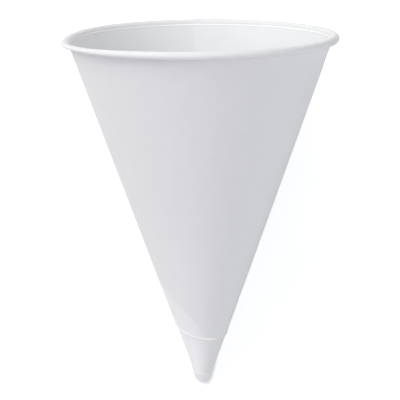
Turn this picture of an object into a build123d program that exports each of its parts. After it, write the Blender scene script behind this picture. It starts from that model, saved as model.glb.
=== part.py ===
from build123d import *
from math import acos, asin, atan, atan2, cos, degrees, hypot, radians, sin, tan
import os

os.makedirs("parts", exist_ok=True)

# Cone cup of wound paper, closed at a blunt tip and rolled outward at the mouth. Millimetres.
# It is built standing on its tip, with the point that the wall aims at on the origin, and is then
# laid on its side, where it rests on the rolled rim and on the plies near the tip.

# Overall sizes
rim_diameter = 73.7      # outside, over the rolled rim
length = 93.8            # along the axis, from the end of the tip to the top of the rim
tip_height = 4.3         # the end of the tip above the point that the wall aims at
tip_diameter = 2.6       # across the blunt end
tip_round = 0.5          # rounding of that end

# Paper and rolled rim
ply = 0.16               # thickness of the sheet
bead = 2.2               # outside diameter of the roll
crease_drop = 0.3        # the crease inside the mouth, below the middle of the roll
tuck_gap = 0.2           # between the edge of the curl and the wall that it turns back to
curl_root = 9            # degrees of the curl that are buried in the top of the wall
wall_bite = 0.15         # how far the wall runs on above the crease, inside the curl

# Lap of the sheet, as angles about the axis from +X. The sheet goes round twice, and the lap adds a
# third ply on the ground side, between its two edges
inner_edge = 92          # where the edge of the sheet shows inside the cup
outer_edge = 52          # where the other edge shows outside
settle_end = 180         # from the inner edge to here the wall settles back onto the cone

# Cut ends of the plies, and the inside, near the tip
trim_low = 16.9          # lowest point of the outer ply's cut edge
trim_high = 21.9         # the same cut edge on the far side
trim_angle = -60         # direction in which that edge is lowest
step_height = 6.4        # cut edge of the next ply, round the tip
floor_height = 6.8       # deepest point of the inside
floor_diameter = 0.8     # across the inside there
floor_blend = 13.0       # below this the plies close in faster than the wall

# Where the cup lies on its soft rim, the roll is pressed flat by this much
flat_spot = 0.5

# How far a solid runs past the cut or the join where it ends
spare = 2.0

# Worked out from the sizes above
roll = bead / 2
roll_radius = rim_diameter / 2 - roll
roll_height = length + tip_height - roll
crease_height = roll_height - crease_drop
crease_radius = roll_radius - (roll**2 - crease_drop**2) ** 0.5
half_angle = atan(crease_radius / crease_height)
for _ in range(8):
    half_angle = atan((crease_radius + 2 * ply / cos(half_angle)) / crease_height)
slope = tan(half_angle)
thick = ply / cos(half_angle)      # one ply, measured level
tip_radius = tip_diameter / 2
join_height = trim_high + spare    # the bare inner ply runs this far up under the outer one
wall_top = crease_height + wall_bite
above = join_height * slope - thick
rise = (above - ply - tip_radius) / (join_height - tip_height)
under = tip_radius + (step_height - tip_height) * rise


def at(radius, angle, height=0.0):
    """The point at a radius, an angle in degrees about the axis, and a height."""
    return (radius * cos(radians(angle)), radius * sin(radians(angle)), height)


def turn(height, radius, step_at):
    """One closed turn of the sheet, seen along the axis: a circle that is one ply wider from the edge of
    the sheet at step_at to the lap's inner edge, and from there settles back to the circle."""
    wide = radius + thick
    with BuildSketch(Plane.XY.offset(height)) as outline:
        with BuildLine():
            Line(at(radius, step_at), at(wide, step_at))
            if step_at != inner_edge:
                middle = (step_at + inner_edge) / 2
                ThreePointArc(at(wide, step_at), at(wide, middle), at(wide, inner_edge))
            middle = (inner_edge + settle_end) / 2
            ThreePointArc(
                at(wide, inner_edge),
                at(radius + thick / 2, middle),
                at(radius, settle_end),
            )
            middle = (settle_end + step_at) / 2 + 180
            ThreePointArc(at(radius, settle_end), at(radius, middle), at(radius, step_at))
        make_face()
    return outline.sketch


# The cut through the outer ply near the tip: it leans, because the sheet is cut straight
low_radius = trim_low * slope
high_radius = trim_high * slope
lean = atan2(trim_high - trim_low, low_radius + high_radius)
lean_x, lean_y, _ = at(sin(lean), trim_angle)
trim_plane = Plane(origin=at(low_radius, trim_angle, trim_low), z_dir=(lean_x, lean_y, cos(lean)))

with BuildPart() as outer_turn:
    # Outside of the lapped wall, down to the cut edge of the outer ply
    start = trim_low - spare
    lower = turn(start, start * slope, outer_edge)
    upper = turn(wall_top, wall_top * slope, outer_edge)
    loft([lower, upper], ruled=True)
    split(bisect_by=trim_plane, keep=Keep.TOP)

with BuildPart() as inside:
    # The space inside: the lap's inner edge is a step that runs from the mouth almost to the tip
    low = floor_blend * slope - 2 * thick
    top = wall_top + spare
    lower = turn(floor_blend, low, inner_edge)
    upper = turn(top, top * slope - 2 * thick, inner_edge)
    loft([lower, upper], ruled=True)
    with BuildSketch(Plane.XZ):
        with BuildLine():
            Polyline(
                (0, floor_height),
                (floor_diameter / 2, floor_height),
                (low, floor_blend),
                (0, floor_blend),
                close=True,
            )
        make_face()
    revolve(axis=Axis.Z)

with BuildPart() as cone_cup:
    # Inner ply, bare near the tip, with the cut edge of one more ply under it
    with BuildSketch(Plane.XZ):
        with BuildLine():
            Polyline(
                (0, tip_height),
                (tip_radius, tip_height),
                (under, step_height),
                (under + ply, step_height),
                (above, join_height),
                (0, join_height),
                close=True,
            )
        make_face()
    revolve(axis=Axis.Z)
    fillet(edges().sort_by(Axis.Z)[0], tip_round)
    add(outer_turn.part)
    add(inside.part, mode=Mode.SUBTRACT)

    # Rolled rim: from inside the wall over the top, outward, under and back to the wall
    with BuildSketch(Plane.XZ):
        with BuildLine():
            centre = (roll_radius, roll_height)
            first = 180 + degrees(asin(crease_drop / roll)) + curl_root
            away = roll_radius * cos(half_angle) - roll_height * sin(half_angle)
            last = -degrees(acos((tuck_gap - away) / roll) + half_angle)
            over = CenterArc(centre, roll, first, last - first)
            under_side = CenterArc(centre, roll - 2 * ply, first, last - first)
            Line(over @ 0, under_side @ 0)
            Line(over @ 1, under_side @ 1)
        make_face()
    revolve(axis=Axis.Z)

with BuildPart() as full_roll:
    # The roll with no hollow, to half way through its outer ply
    with BuildSketch(Plane.XZ):
        with Locations((roll_radius, roll_height)):
            Circle(roll - ply / 2)
    revolve(axis=Axis.Z)


def lean_to(radius, height, rounding=0.0):
    """The axis's tilt at which the rolled rim and one round edge nearer the tip both touch the ground."""
    across = roll_radius - radius
    along = roll_height - height
    return atan2(across, along) + asin((roll - flat_spot - rounding) / hypot(across, along))


# Laid on its side: it tips over until the first edge near the tip meets the ground
round_radius = tip_radius - tip_round * tan(radians(45) - atan(rise) / 2)
ground_side = radians(90 - trim_angle)
trim_ground = (trim_low + tan(lean) * low_radius) / (1 + tan(lean) * slope * cos(ground_side))
recline = min(
    lean_to(round_radius, tip_height + tip_round, tip_round),
    lean_to(under + ply, step_height),
    lean_to(trim_ground * slope + thick, trim_ground),
)
ground = roll_height * sin(recline) - roll_radius * cos(recline) - roll + flat_spot
mouth_end = roll_height * cos(recline) + roll_radius * sin(recline) + roll
tip_end = (tip_height + tip_round) * cos(recline) - round_radius * sin(recline) - tip_round
lying = Location((0, -(mouth_end + tip_end) / 2, -ground), (degrees(recline) - 90, 0, 0))

with BuildPart() as lying_cup:
    # The flat spot: the roll is cut off level with the ground, and its paper lies level inside the cut
    with Locations(lying):
        add(full_roll.part)
    split(bisect_by=Plane.XY.offset(2 * ply), keep=Keep.BOTTOM)
    with Locations(lying):
        add(cone_cup.part)
    split(bisect_by=Plane.XY, keep=Keep.TOP)

lying_cup.part.label = "cone_cup"
export_step(lying_cup.part, "parts/cone_cup.step")
print("half angle", round(degrees(half_angle), 3), "recline", round(degrees(recline), 3))
print("volume", round(lying_cup.part.volume, 1), "box", lying_cup.part.bounding_box())
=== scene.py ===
# %% [markdown]
# # A cone paper cup
#
# A cone cup is one sheet of paper, wound round itself, glued along its lap and curled outward at the
# mouth. There is no second part: the look comes from how that sheet is wound, how its cut edges show,
# and how soft light falls off a matt white surface. This lesson builds the sheet as a real sheet, with
# two faces and a thickness, and lays it down as an empty cup lies: on its rim, with its tip forward.

from math import acos, asin, atan, cos, degrees, radians, sin, tan

import bpy
import numpy as np
from mathutils import Matrix, Vector


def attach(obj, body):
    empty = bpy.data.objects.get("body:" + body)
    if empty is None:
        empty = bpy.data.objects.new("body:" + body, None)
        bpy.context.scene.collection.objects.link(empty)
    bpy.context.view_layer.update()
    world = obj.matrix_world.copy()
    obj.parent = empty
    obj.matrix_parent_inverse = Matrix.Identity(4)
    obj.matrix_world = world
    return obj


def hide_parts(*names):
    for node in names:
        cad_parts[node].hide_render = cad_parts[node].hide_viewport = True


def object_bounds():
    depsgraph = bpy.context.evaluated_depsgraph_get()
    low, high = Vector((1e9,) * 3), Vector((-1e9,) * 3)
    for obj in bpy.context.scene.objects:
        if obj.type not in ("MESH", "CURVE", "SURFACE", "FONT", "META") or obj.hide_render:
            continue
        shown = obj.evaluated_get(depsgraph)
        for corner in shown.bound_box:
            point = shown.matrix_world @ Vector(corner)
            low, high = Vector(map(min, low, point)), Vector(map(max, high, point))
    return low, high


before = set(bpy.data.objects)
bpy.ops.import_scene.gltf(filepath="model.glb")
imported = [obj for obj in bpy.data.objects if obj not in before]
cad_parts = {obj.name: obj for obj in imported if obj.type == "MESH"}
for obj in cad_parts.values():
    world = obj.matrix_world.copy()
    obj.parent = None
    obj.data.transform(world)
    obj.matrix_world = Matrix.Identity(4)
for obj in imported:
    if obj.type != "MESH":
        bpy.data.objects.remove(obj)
cad_low, cad_high = [Vector(corner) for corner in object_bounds()]
print("CAD nodes", list(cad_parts))
print("CAD box in mm", [round(1000 * v, 1) for v in cad_high - cad_low])

# %% [markdown]
# ## The sizes that everything follows
#
# The frame gives the width over the rolled rim and where the cup lies. The other sizes are those that a
# cup maker would write down: the paper, the roll, the lap and the cut edges. The slope of the wall isn't
# chosen, because the rim's width and the cup's length already settle it. The width of two plies leans
# with that slope, so the angle is found in a few rounds.

# %% Sizes, in millimetres and degrees
ply = 0.16                                            # thickness of the paper
bead = 2.2                                            # across the roll
length, tip_height = 93.8, 4.3                        # the tip's end stands above the point of the cone
step_height = 6.4                                     # cut edge of the inner turns, round the tip
floor_height, floor_blend = 6.8, 13.0                 # bottom of the inside, and where it narrows
crease_drop = 0.3                                     # the crease, below the middle of the roll
tuck_gap = 0.2                                        # between the curl's edge and the wall
inner_edge, outer_edge = 92, 52                       # directions of the lap's two edges
settle_end = 112                                      # where the wall has settled past the inner edge
trim_low, trim_high, trim_angle = 16.9, 21.9, -60     # cut edge of the outer ply, and where it is lowest
flat_spot = 0.5                                       # how far the roll is pressed flat on the table
recline = radians(20.635)                             # of the axis, from level

rim_radius = 1000 * (cad_high.x - cad_low.x) / 2
roll = bead / 2
roll_radius = rim_radius - roll
roll_height = length + tip_height - roll
crease_height = roll_height - crease_drop
crease_radius = roll_radius - (roll**2 - crease_drop**2) ** 0.5
half_angle = atan(crease_radius / crease_height)
for _ in range(8):
    half_angle = atan((crease_radius + 2 * ply / cos(half_angle)) / crease_height)
slope = tan(half_angle)
print("half angle", round(degrees(half_angle), 2), "crease radius", round(crease_radius, 2))

# %% [markdown]
# ## Soft curves
#
# Paper has few sharp changes of form, so most features below are one of two curves: an even S from one
# level to another, or a low hump. Directions go round the cup, so a third helper keeps an angle between
# -180 and 180, and a distance from a direction never jumps by a whole turn.

# %% Curves that the other cells share
def smooth(x):
    """0 below 0, 1 above 1, and an even S between."""
    x = np.clip(x, 0, 1)
    return x * x * (3 - 2 * x)


def hump(x, width):
    """1 at 0, falling off evenly on both sides."""
    return np.exp(-((x / width) ** 2))


def wrap(angle):
    """The same direction, between -180 and 180 degrees."""
    return (angle + 180) % 360 - 180


print("half way up the S", float(smooth(0.5)), "and one width off the hump", round(float(hump(1, 1)), 2))

# %% [markdown]
# ## The profile of the paper
#
# Cut the cup along its axis and the paper is a line: straight up the wall, a sharp crease, then a curl
# that goes over the top, outward, down and back to the wall. `profile` follows that line by distance
# along the paper, 0 at the crease. It gives the face that looks into the cup, and the direction through
# the paper, so that the second ply can lie on the first.
#
# The curling tool leaves a small pressed lip at the crease. It is only a tenth of a millimetre high, but
# it catches the light as a thin bright line round the inside of the mouth, and that line is also painted
# near white below, as a painted highlight.

# %% Profile along the paper
away = roll_radius * cos(half_angle) - roll_height * sin(half_angle)
curl_start = radians(180) + asin(crease_drop / roll)
curl_end = -(acos((tuck_gap - away) / roll) + half_angle)
curl_length = roll * (curl_start - curl_end)
lip_height, lip_width = 0.10, 0.13


def profile(s):
    """Radius and height of the inner face, and the direction through the paper, at distance s."""
    angle = curl_start - np.clip(s, 0, None) / roll
    on_wall = s <= 0
    r = np.where(on_wall, crease_radius + s * sin(half_angle), roll_radius + roll * np.cos(angle))
    z = np.where(on_wall, crease_height + s * cos(half_angle), roll_height + roll * np.sin(angle))
    through_r = np.where(on_wall, cos(half_angle), -np.cos(angle))
    through_z = np.where(on_wall, -sin(half_angle), -np.sin(angle))
    lip = lip_height * hump(s + lip_width / 2, lip_width)
    return r - lip, z, through_r, through_z


print("paper in the curl", round(curl_length, 2), "mm")

# %% [markdown]
# ## The winding
#
# The sheet starts inside the cup, on the side that lies on the table, and goes round twice. Each time it
# meets its own first edge it climbs one ply. It ends a little past that edge, so the wall is two plies
# everywhere and three in the lap, and the heavier lap is what a lying cup turns down to the table.
# `turned` is how far along the winding a point is, in degrees.
#
# Near the tip the outer ply was cut straight before it was wound. A straight cut wraps into a leaning
# line, which is why its edge is lower on one side of the cup.

# %% Winding and cut edges
total_turn = 720 + inner_edge - outer_edge
climb = 360 - (settle_end - inner_edge)
lean = (trim_high - trim_low) / (slope * (trim_high + trim_low))
inner_turn_end = 370
trim_ramp = 2
ply_gap = 0.01


def lift(turned):
    """How far the sheet stands off the innermost ply."""
    step = ply + ply_gap
    turns, along = np.divmod(turned, 360)
    return step * (turns + smooth((along - climb) / (360 - climb)))


def trim(angle):
    """Height of the outer ply's cut edge."""
    return trim_low * (1 + lean * slope) / (1 + lean * slope * np.cos(np.radians(angle - trim_angle)))


def lower_edge(turned):
    """Height at which the sheet begins: the tip at first, then the cut edge of the outer ply."""
    share = np.clip((turned - inner_turn_end) / trim_ramp, 0, 1)
    return step_height * (1 - share) + trim(inner_edge - turned) * share


print("turns of paper", round(total_turn / 360, 2))

# %% [markdown]
# ## What keeps paper from looking like plastic
#
# A lathe would turn a perfect cone. Paper can't hold one: it goes slightly flat between the places where
# it is held, it keeps small dents, and an edge of an inner ply shows through the outer one as a soft
# step. A sheet bends in one direction only, so most of these errors run straight from the tip to the
# rim and grow with the distance from the tip.
#
# Each feature below is a short formula in the angle round the cup and the height along it, so it can be
# moved or left out by itself. An angle of -90 is the side that looks up at you, and 90 is on the table.

# %% Relief of the wall
full_height = 97                                      # an error that grows from the tip is full here
wave_size = 0.11
edge_at, edge_start, edge_rise = -85, 19.3, 0.18      # a direction, the height there, the rise per degree
edge_drop, edge_softness = 0.17, 1.5                  # the step down past that edge
edge_across = 0.62                                    # way square to the edge, per mm of height
pinch_depth, pinch_height = 0.03, 92.5
dent_depth, dent_at, dent_height = 0.20, -62, 90.8
groove_depth, groove_width = 0.50, 9
wider = 0.05                                          # twice this on the right-hand side

rng = np.random.default_rng(4)
waves = [(k, rng.uniform(0, 2 * np.pi), wave_size / k) for k in (3, 4, 5, 7, 9, 12, 16)]


def edge_height(a):
    """Height of the slanting edge of a ply that lies under the outer one."""
    return edge_start + edge_rise * (edge_at - a)


def buried_edge(angle, z):
    """The wall steps down one ply, softly, past the slanting edge of a ply inside it."""
    a = wrap(angle)
    past = edge_across * (edge_height(a) - z)
    window = smooth((a + 172) / 22) * smooth((-62 - a) / 26) * smooth((z - 7) / 8)
    return -edge_drop * (1 - np.exp(-np.clip(past, 0, None) / edge_softness)) * window


def neck(angle, z):
    """The wall is drawn in a little under the roll, most of all in one dent beside the middle."""
    pinch = pinch_depth * hump(z - pinch_height, 2.6)
    dent = dent_depth * hump(wrap(angle) - dent_at, 13) * hump(z - dent_height, 2.4)
    return -pinch - dent


def lap_groove(angle, z):
    """The stiff edge of the lap bends the wall outward, in a groove with a sharp bottom."""
    off_edge = np.abs(wrap(angle - inner_edge))
    return groove_depth * np.exp(-off_edge / groove_width) * np.clip(z / full_height, 0, 1)


def relief(angle, z):
    """Outward error of the wall in millimetres."""
    a = np.radians(angle)
    out = sum(size * np.sin(k * a + phase) for k, phase, size in waves)
    out = out * np.clip(z / full_height, 0, 1) ** 1.5
    out = out + wider * np.cos(a) * (1 + np.cos(a)) * smooth((z - step_height) / 3)
    return out + buried_edge(angle, z) + neck(angle, z) + lap_groove(angle, z)


print("relief at the rim", round(float(np.ptp(relief(np.arange(360), 96.7))), 2), "mm")

# %% [markdown]
# ## A soft rim and painted light near the tip
#
# Two more things aren't the same all round. A thumb or the next cup in the stack has pressed the roll
# down on one side. That changes heights, not radii, so it is a function of its own.
#
# Near the tip the wall has fewer plies. There, on the side toward the lamps, the paper is painted lighter,
# as painted light. That is a mark on the surface, from 0 to 1, which the material reads later.

# %% Pressed rim and painted light near the tip
press_share, press_at = 0.42, -165                    # how much of the roll's height is lost, and where
droop_depth, droop_at = 0.35, 180
light_side = -148                                     # middle of the side that faces the lamps, painted lighter
past_share, trace_share = 0.75, 0.25                  # marks past the buried edge, and further up


def pressed_rim(angle, z):
    """The height of a point after the soft roll has been pressed down on one side."""
    bottom = roll_height - roll
    press = press_share * hump(wrap(angle - press_at), 40)
    droop = droop_depth * hump(wrap(angle - droop_at), 20)
    return z - press * np.clip(z - bottom, 0, None) - droop * smooth((z - bottom + 0.6) / 0.8)


def tip_light_amount(angle, z, single_ply):
    """How much lighter the paper is painted near the tip, as painted light: 1 where a single ply covers
    the tip, less past the buried edge, and a trace further up. It fades away from the middle of the side
    toward the lamps."""
    from_middle = wrap(angle - light_side)
    a = from_middle + light_side
    softness = 2.2 + 0.06 * np.abs(a + 110)
    past = past_share * smooth((edge_height(a) + 0.4 * softness - z) / softness)
    trace = trace_share * smooth((62 - z) / 36)
    return np.where(single_ply, 1, np.maximum(past, trace)) * smooth((98 - np.abs(from_middle)) / 70)


print("top of the pressed rim", round(float(pressed_rim(np.array(180), roll_height + roll)), 2), "mm")

# %% [markdown]
# ## From numbers to a mesh
#
# The sheet is a grid: columns along the winding, rows along the paper. The grid is made twice, once for
# each face, and the four borders are closed with narrow strips. Those strips are the cut edges. They are
# marked in an attribute, because raw cut paper is whiter than the pressed face; the same attribute also
# paints highlights along the outer cut edge and the crease, and a second one carries painted light near
# the tip.
#
# The cup is worked out standing on its tip and laid down point by point. Where it would sink into the
# table, the soft paper is pressed up instead, so it touches along a small flat spot.

# %% Helpers for grids
# The third list holds the near-white share, for cut edges and for painted highlights; the fourth holds the
# painted light near the tip.
verts, faces, cut, tip_light_marks, flat = [], [], [], [], []


def lay_down(p, outermost=None):
    """From a cup that stands on its tip at the origin, in millimetres, to the lying cup, in metres.
    Where the outermost surface would sink into the table, the paper is pressed up by that much."""
    ground = roll_height * sin(recline) - roll_radius * cos(recline) - roll + flat_spot
    far = roll_radius * sin(recline) + roll_height * cos(recline) + roll

    def height(q):
        return -q[..., 1] * cos(recline) + q[..., 2] * sin(recline) - ground

    pressed = 0 if outermost is None else np.clip(-height(outermost), 0, None)
    along = p[..., 1] * sin(recline) + p[..., 2] * cos(recline) - far
    up = np.clip(height(p) + pressed, 0, None)
    return np.stack([p[..., 0] * 0.001, along * 0.001 + cad_high.y, up * 0.001], -1)


def add_grid(points, uv, flip=False, cut_and_highlight_share=0.0, tip_light_share=0.0, closed=False):
    """Adds a grid of laid points as quads. closed joins the last column to the first."""
    start = sum(len(v) for v in verts)
    columns, rows = points.shape[:2]
    verts.append(points.reshape(-1, 3))
    flat.append(uv.reshape(-1, 2))
    c = np.arange(columns if closed else columns - 1)[:, None]
    r = np.arange(rows - 1)[None, :]
    after = (c + 1) % columns
    quad = np.stack([c * rows + r, after * rows + r, after * rows + r + 1, c * rows + r + 1], -1)
    quad = quad.reshape(-1, 4)
    faces.append(start + (quad[:, ::-1] if flip else quad))
    cut.append(np.broadcast_to(cut_and_highlight_share, (columns, rows)).reshape(-1))
    tip_light_marks.append(np.broadcast_to(tip_light_share, (columns, rows)).reshape(-1))


def add_border(inside, outside, border_uv, flip=False):
    """Closes a border of the sheet with a strip of cut edge, from one face to the other."""
    add_grid(np.stack([inside, outside], 1), border_uv, flip=flip, cut_and_highlight_share=1.0)


print("the tip's end lies", round(1000 * float(lay_down(np.array([0, 0, tip_height]))[2]), 2), "mm up")

# %% [markdown]
# ## Where the points go
#
# Rows are close together only where the form changes quickly: near the cut edge, under the roll and in
# the crease. The columns are even, apart from a few that fall exactly where the winding climbs or ends.
#
# The UV map is the flat sheet itself. A cone unrolls without stretching, so the grain of the paper can
# run straight across the sheet and still wrap correctly.

# %% Rows and columns
highlight_band = 0.0058                                       # share of the wall, from the cut edge, painted as a highlight
highlight_rows = 3
turned = np.linspace(0, total_turn, 345)
marks = [climb, 360, inner_turn_end, inner_turn_end + trim_ramp, 720]
turned = np.unique(np.concatenate([turned, marks]))
wall_rows = np.concatenate(
    [
        [0, 0.5 * highlight_band, highlight_band, 1.15 * highlight_band],
        np.linspace(0.009, 0.2, 28),
        np.linspace(0.225, 0.86, 24),
        np.linspace(0.87, 0.994, 13),
    ]
)
crease_rows = np.array([-0.4, -0.3, -0.22, -0.16, -0.1, -0.05, 0, 0.05, 0.12, 0.2])
curl_rows = np.linspace(0.32, curl_length, 32)
begin = (lower_edge(turned) - crease_height) / cos(half_angle)
beyond = np.repeat(np.concatenate([crease_rows, curl_rows])[None, :], len(turned), 0)
s = np.concatenate([begin[:, None] * (1 - wall_rows)[None, :], beyond], 1)
r, z, through_r, through_z = profile(s)
angle = (inner_edge - turned)[:, None] + 0 * s
print("columns and rows", s.shape)

# %% [markdown]
# ## Two faces and their borders
#
# The outer ply's cut edge stands off the cone by a tenth of a millimetre, as a cut edge does. On the side
# toward the lamps the first rows behind it are painted as white as a cut edge, a painted highlight, and
# the fold at the crease is painted as white too, a painted highlight where the lip catches the light.

# %% Sheet mesh
flare_height, flare_length = 0.11, 0.3
fold_middle, fold_width = 0.04, 0.20
inner_highlight = 0.4
bare_top = 22
uv_scale = 0.01

error = relief(angle, np.minimum(z, crease_height))
flare = flare_height * np.exp(-(s - begin[:, None]) / flare_length) * (turned > inner_turn_end)[:, None]


def around_axis(radius, height):
    """Points of the whole sheet, from their radii and heights."""
    a = np.radians(angle)
    return np.stack([radius * np.cos(a), radius * np.sin(a), height], -1)


def face_at(depth):
    """One face of the sheet, at a depth through the paper from the inner face."""
    off = lift(turned)[:, None] + flare + depth
    height = pressed_rim(angle, z + off * through_z)
    outermost = around_axis(r + error, pressed_rim(angle, z))
    return lay_down(around_axis(r + off * through_r + error, height), outermost)


distance = crease_radius / sin(half_angle) + s
unrolled = np.radians(turned)[:, None] * sin(half_angle)
uv = np.stack([distance * np.cos(unrolled), distance * np.sin(unrolled)], -1) * uv_scale
inner, outer = face_at(0), face_at(ply)

# Near the tip the outer face is painted lighter on the side toward the lamps, as painted light.
single = (turned < inner_turn_end + trim_ramp)[:, None] & (z < bare_top)
# The rows behind the outer cut edge are painted near white on the side toward the lamps, a painted
# highlight.
near_edge = (np.arange(s.shape[1]) < highlight_rows)[None, :]
toward_lamps = smooth((103 - np.abs(wrap(angle - light_side))) / 25)
edge_highlight = near_edge * toward_lamps * np.where(turned < inner_turn_end, inner_highlight, 1)[:, None]
# The crease on the inner face is painted near white, a painted highlight.
add_grid(inner, uv, flip=True, cut_and_highlight_share=hump(s - fold_middle, fold_width))
add_grid(outer, uv, cut_and_highlight_share=edge_highlight, tip_light_share=tip_light_amount(angle, z, single))
add_border(inner[:, 0], outer[:, 0], uv[:, :2], flip=True)
add_border(inner[:, -1], outer[:, -1], uv[:, -2:])
add_border(inner[0], outer[0], np.stack([uv[0], uv[0]], 1))
add_border(inner[-1], outer[-1], np.stack([uv[-1], uv[-1]], 1), flip=True)
print("faces in the sheet", sum(len(f) for f in faces))

# %% [markdown]
# ## The tip
#
# At the tip the sheet is wound too tightly to stay in layers, so it is pressed into a small solid plug
# with a rounded end. The winding shows as a line that turns slowly round the plug, and the end has a
# little dimple, where the paper doesn't quite meet. Inside the cup the plug is the narrow floor.

# %% Plug at the tip
seam_at, seam_twist, seam_step = 250, 9, 0.06         # direction, degrees per mm, and share of the radius
# share of the painted light near the tip that the plug takes
plug_tip_light = 0.4
inside_radius = floor_blend * slope - 2 * ply / cos(half_angle)
sheet_radius = step_height * slope - 2 * ply / cos(half_angle)
plug_end = [(0.0, 4.72), (0.2, 4.62), (0.38, 4.42), (0.62, 4.31), (0.92, 4.3), (1.15, 4.38), (1.33, 4.58)]
plug_side = [(1.44, 4.85), (1.66, 5.4), (1.86, 5.95), (sheet_radius + 0.01, step_height)]
plug_inside = [(inside_radius - 0.02, floor_blend), (inside_radius - 0.12, floor_blend), (0.4, 6.9)]
plug = np.array([*plug_end, *plug_side, *plug_inside, (0.0, floor_height)])
plug_radius, plug_height = plug[:, 0], plug[:, 1][None, :]
plug_angle = np.arange(0, 360, 5)[:, None]
winding = ((plug_angle - seam_at - seam_twist * (plug_height - tip_height)) % 360) / 360
radius = plug_radius * (1 + seam_step * (winding - 0.5) * (plug_height < step_height))
a = np.radians(plug_angle)
points = np.stack([radius * np.cos(a), radius * np.sin(a), plug_height + 0 * a], -1)
plug_uv = points[..., :2] * uv_scale
add_grid(lay_down(points), plug_uv, closed=True, tip_light_share=plug_tip_light)
print("widest part of the plug", round(2 * float(radius.max()), 2), "mm")

# %% [markdown]
# ## One object for one sheet
#
# The real cup is one piece, so the faces, the borders and the plug become one mesh, and it stands for the
# one node of the CAD. Shading is smooth except across the cut edges, which have to stay crisp. The two
# marks are stored on the points, so they travel with the paper.

# %% Mesh object
mesh = bpy.data.meshes.new("paper_sheet")
mesh.from_pydata(np.concatenate(verts), [], np.concatenate(faces))
mesh.update()
mesh.shade_smooth()
mesh.set_sharp_from_angle(angle=radians(35))
uv_layer = mesh.uv_layers.new(name="flat_sheet")
corner = np.empty(len(mesh.loops), int)
mesh.loops.foreach_get("vertex_index", corner)
uv_layer.data.foreach_set("uv", np.concatenate(flat)[corner].ravel())
for name, values in (("cut_edge_and_highlight", cut), ("painted_tip_light", tip_light_marks)):
    mark = mesh.attributes.new(name, "FLOAT", "POINT")
    mark.data.foreach_set("value", np.concatenate(values).astype(float))
cup = bpy.data.objects.new("wound_paper_cup", mesh)
bpy.context.scene.collection.objects.link(cup)
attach(cup, "root")
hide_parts("cone_cup")
print("triangles", sum(len(p.vertices) - 2 for p in mesh.polygons))

# %% [markdown]
# ## The paper
#
# Bleached cup paper is smooth to the hand, but not blank: fibres lie in soft clouds, a few mm across,
# and its face has a fine grain. Both are weak, a percent or two. The group gives the colour, the
# roughness and the surface normal, and the shader keeps its own constants. Cut edges are raw fibre, so
# they are whiter, and the same near white paints highlights along the outer cut edge and the crease.
# Near the tip the paper is painted lighter on the side toward the lamps, as painted light.

# %% Fibre group
group = bpy.data.node_groups.new("paper_fibres", "ShaderNodeTree")
for name in ("Face", "Cloud", "Painted tip light", "Cut edge and highlight"):
    group.interface.new_socket(name, in_out="INPUT", socket_type="NodeSocketColor")
for name, kind in (("Colour", "Color"), ("Roughness", "Float"), ("Normal", "Vector")):
    group.interface.new_socket(name, in_out="OUTPUT", socket_type="NodeSocket" + kind)
nodes, links = group.nodes, group.links
given = nodes.new("NodeGroupInput")
sheet_map = nodes.new("ShaderNodeUVMap")
sheet_map.uv_map = "flat_sheet"


def noise(scale, detail, stretch=(1, 1, 1)):
    """Noise on the flat sheet. A stretch above 1 makes it finer in that direction."""
    mapping = nodes.new("ShaderNodeMapping")
    mapping.inputs["Scale"].default_value = stretch
    links.new(sheet_map.outputs[0], mapping.inputs[0])
    tex = nodes.new("ShaderNodeTexNoise")
    tex.inputs["Scale"].default_value = scale
    tex.inputs["Detail"].default_value = detail
    links.new(mapping.outputs[0], tex.inputs["Vector"])
    return tex.outputs["Fac"]


def blend(factor, first, second):
    """The second colour over the first, by a factor."""
    mix = nodes.new("ShaderNodeMix")
    mix.data_type = "RGBA"
    for source, socket in ((factor, 0), (first, 6), (second, 7)):
        links.new(source, mix.inputs[socket])
    return mix.outputs[2]


def mask(name):
    """One of the marks that are stored on the mesh."""
    attribute = nodes.new("ShaderNodeAttribute")
    attribute.attribute_name = name
    return attribute.outputs["Fac"]


def bumped(height, strength, distance, normal=None):
    """The surface normal over small bumps, on top of another such normal if one is given."""
    bump = nodes.new("ShaderNodeBump")
    bump.inputs["Strength"].default_value = strength
    bump.inputs["Distance"].default_value = distance
    links.new(height, bump.inputs["Height"])
    if normal:
        links.new(normal, bump.inputs["Normal"])
    return bump.outputs[0]


clouds = noise(30, 3)
grain = noise(220, 4, (1, 3, 1))
fibres = noise(700, 2, (1, 4, 1))
tone = blend(clouds, given.outputs["Face"], given.outputs["Cloud"])
tone = blend(mask("painted_tip_light"), tone, given.outputs["Painted tip light"])
tone = blend(mask("cut_edge_and_highlight"), tone, given.outputs["Cut edge and highlight"])
normal = bumped(grain, 0.25, 0.00004)
normal = bumped(fibres, 0.2, 0.00002, normal)
rough = nodes.new("ShaderNodeMapRange")
rough.inputs["To Min"].default_value = 0.5
rough.inputs["To Max"].default_value = 0.62
links.new(clouds, rough.inputs["Value"])
result = nodes.new("NodeGroupOutput")
links.new(tone, result.inputs["Colour"])
links.new(rough.outputs[0], result.inputs["Roughness"])
links.new(normal, result.inputs["Normal"])
print("nodes in the fibre group", len(nodes))

# %% [markdown]
# ## The paper's colours
#
# The paper is matt with a weak sheen, because cup paper is pressed but not coated. Its colours are close
# together: a face a little below white, clouds slightly lighter, painted light near the tip lighter
# again, and cut fibre and painted highlights almost white. One material serves the whole sheet, and
# the marks decide which colour shows where.

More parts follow.
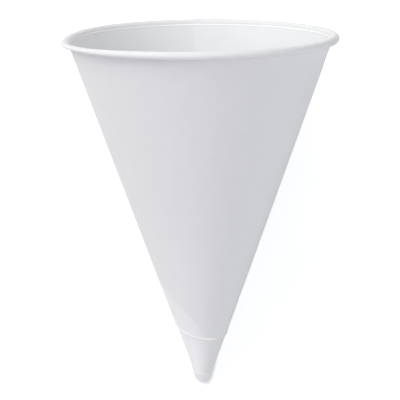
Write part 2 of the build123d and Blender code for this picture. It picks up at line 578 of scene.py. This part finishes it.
# %% Paper material
paper_colours = {
    "Face": (0.785, 0.785, 0.80, 1),
    "Cloud": (0.815, 0.815, 0.83, 1),
    "Painted tip light": (0.915, 0.91, 0.925, 1),
    "Cut edge and highlight": (0.98, 0.98, 0.98, 1),
}
paper = bpy.data.materials.new("white_cup_paper")
paper.use_nodes = True
shader = paper.node_tree.nodes["Principled BSDF"]
shader.inputs["Specular IOR Level"].default_value = 0.3
fibre_node = paper.node_tree.nodes.new("ShaderNodeGroup")
fibre_node.node_tree = group
for name, colour in paper_colours.items():
    fibre_node.inputs[name].default_value = colour
for name, socket in (("Colour", "Base Color"), ("Roughness", "Roughness"), ("Normal", "Normal")):
    paper.node_tree.links.new(fibre_node.outputs[name], shader.inputs[socket])
mesh.materials.append(paper)
print("material", paper.name)

# %% [markdown]
# ## A white table
#
# White paper on a white table is all about the light. The table must stay white in the picture and still
# take the contact shadow. So it glows, but only for the camera, and the glow fades where something stands
# close above it. It lights nothing, so the cup is lit by the lamps and by what the table reflects. The
# world behind is white in the same way.

# %% Table and surroundings
table_reach = 2
contact_reach = 0.0018                                # how near something must be to take the glow away
covered, glow_strength = 0.62, 0.41                   # no glow at this openness, and the full glow

floor_mesh = bpy.data.meshes.new("floor")
corners = [(-table_reach, -table_reach, 0), (table_reach, -table_reach, 0)]
corners += [(table_reach, table_reach, 0), (-table_reach, table_reach, 0)]
floor_mesh.from_pydata(corners, [], [(0, 1, 2, 3)])
floor = bpy.data.objects.new("floor", floor_mesh)
bpy.context.scene.collection.objects.link(floor)
white = bpy.data.materials.new("white_table")
white.use_nodes = True
table = white.node_tree.nodes["Principled BSDF"]
table.inputs["Base Color"].default_value = (0.9, 0.9, 0.9, 1)
table.inputs["Roughness"].default_value = 0.8
table.inputs["Emission Color"].default_value = (1, 1, 1, 1)
table_nodes, table_links = white.node_tree.nodes, white.node_tree.links
ray = table_nodes.new("ShaderNodeLightPath")
contact = table_nodes.new("ShaderNodeAmbientOcclusion")
contact.inputs["Distance"].default_value = contact_reach
glow = table_nodes.new("ShaderNodeMapRange")
glow.inputs["From Min"].default_value = covered
glow.inputs["To Max"].default_value = glow_strength
table_links.new(contact.outputs["AO"], glow.inputs["Value"])
only_seen = table_nodes.new("ShaderNodeMath")
only_seen.operation = "MULTIPLY"
table_links.new(ray.outputs["Is Camera Ray"], only_seen.inputs[0])
table_links.new(glow.outputs[0], only_seen.inputs[1])
table_links.new(only_seen.outputs[0], table.inputs["Emission Strength"])
floor_mesh.materials.append(white)

world = bpy.data.worlds.new("studio")
world.use_nodes = True
sky = world.node_tree.nodes["Background"]
sky.inputs["Color"].default_value = (1, 1, 1, 1)
sky_ray = world.node_tree.nodes.new("ShaderNodeLightPath")
world.node_tree.links.new(sky_ray.outputs["Is Camera Ray"], sky.inputs["Strength"])
bpy.context.scene.world = world
bpy.context.scene.view_settings.view_transform = "Standard"
print("the table is", 2 * table_reach, "m wide and glows to the camera by", glow_strength)

# %% [markdown]
# ## Light
#
# Seven soft lamps stand round the cup, as in a light tent. The strongest is on the left and above, so the
# wall gets darker toward the right, and the weak ones only fill the shade. Each has a slight tint,
# because the cloth of a tent is never quite white.
#
# The camera looks down on the lying cup, 10 degrees short of square to its axis, so that the mouth is
# seen as a narrow oval. The lamps are placed round the camera's line, as a studio would describe them:
# how far off the line, and at what hour of the clock.

# %% Lamps
lamp_size, lamp_distance = 0.6, 1.0
tilt = recline - radians(10.04)
look = Vector((0, sin(tilt), -cos(tilt)))
up = Vector((0, cos(tilt), sin(tilt)))
side = Vector((1, 0, 0))
middle = Vector((0, 0, 0.03))


def lamp(name, off_axis, clock, power, colour):
    """A square soft lamp that points at the middle of the cup. off_axis is its angle from the line to the
    camera, and clock is its direction round that line, in degrees from straight up, clockwise."""
    across = side * sin(radians(clock)) + up * cos(radians(clock))
    toward = across * sin(radians(off_axis)) - look * cos(radians(off_axis))
    light = bpy.data.lights.new(name, "AREA")
    light.energy = power
    light.size = lamp_size
    light.color = colour
    holder = bpy.data.objects.new(name, light)
    holder.location = middle + toward * lamp_distance
    holder.rotation_euler = (-toward).to_track_quat("-Z", "Y").to_euler()
    bpy.context.scene.collection.objects.link(holder)


lamp("key", 60, 315, 6.5, (0.98, 1.0, 0.95))
lamp("left", 60, 270, 2.1, (0.94, 0.90, 1.0))
lamp("right", 30, 90, 3.75, (0.98, 0.99, 1.0))
lamp("low", 60, 180, 3.15, (0.965, 0.96, 1.0))
lamp("top", 30, 0, 1.2, (0.93, 0.955, 1.0))
lamp("back", 60, 0, 1.85, (1.0, 0.96, 0.995))
lamp("edge", 82, 90, 1.35, (0.90, 0.935, 1.0))
print("lamps", len(bpy.data.lights), "with", round(sum(light.energy for light in bpy.data.lights), 2), "W")

# %% [markdown]
# ## Camera
#
# A long lens from 0.8 m keeps the cone's sides straight and its mouth nearly a true oval. The camera aims
# at a point near the middle of the axis, and it is turned by half a degree, because a cup never stands
# exactly square to the picture.

# %% Camera
camera_distance = 0.8
view_width = 106.7065                                 # mm across the picture, at the cup
aim_point = np.array([-0.38, 0.0, 53.751])            # on the standing cup
roll_angle = radians(-0.568)

aim = Vector(lay_down(aim_point))
right = side * cos(roll_angle) + up * sin(roll_angle)
above = -side * sin(roll_angle) + up * cos(roll_angle)
lens = bpy.data.cameras.new("camera")
lens.sensor_width = 36
lens.lens = lens.sensor_width * 1000 * camera_distance / view_width
camera = bpy.data.objects.new("camera", lens)
facing = Matrix((right, above, -look)).transposed()
camera.matrix_world = Matrix.Translation(aim - camera_distance * look) @ facing.to_4x4()
bpy.context.scene.collection.objects.link(camera)
bpy.context.scene.camera = camera
print("lens", round(lens.lens, 1), "mm")
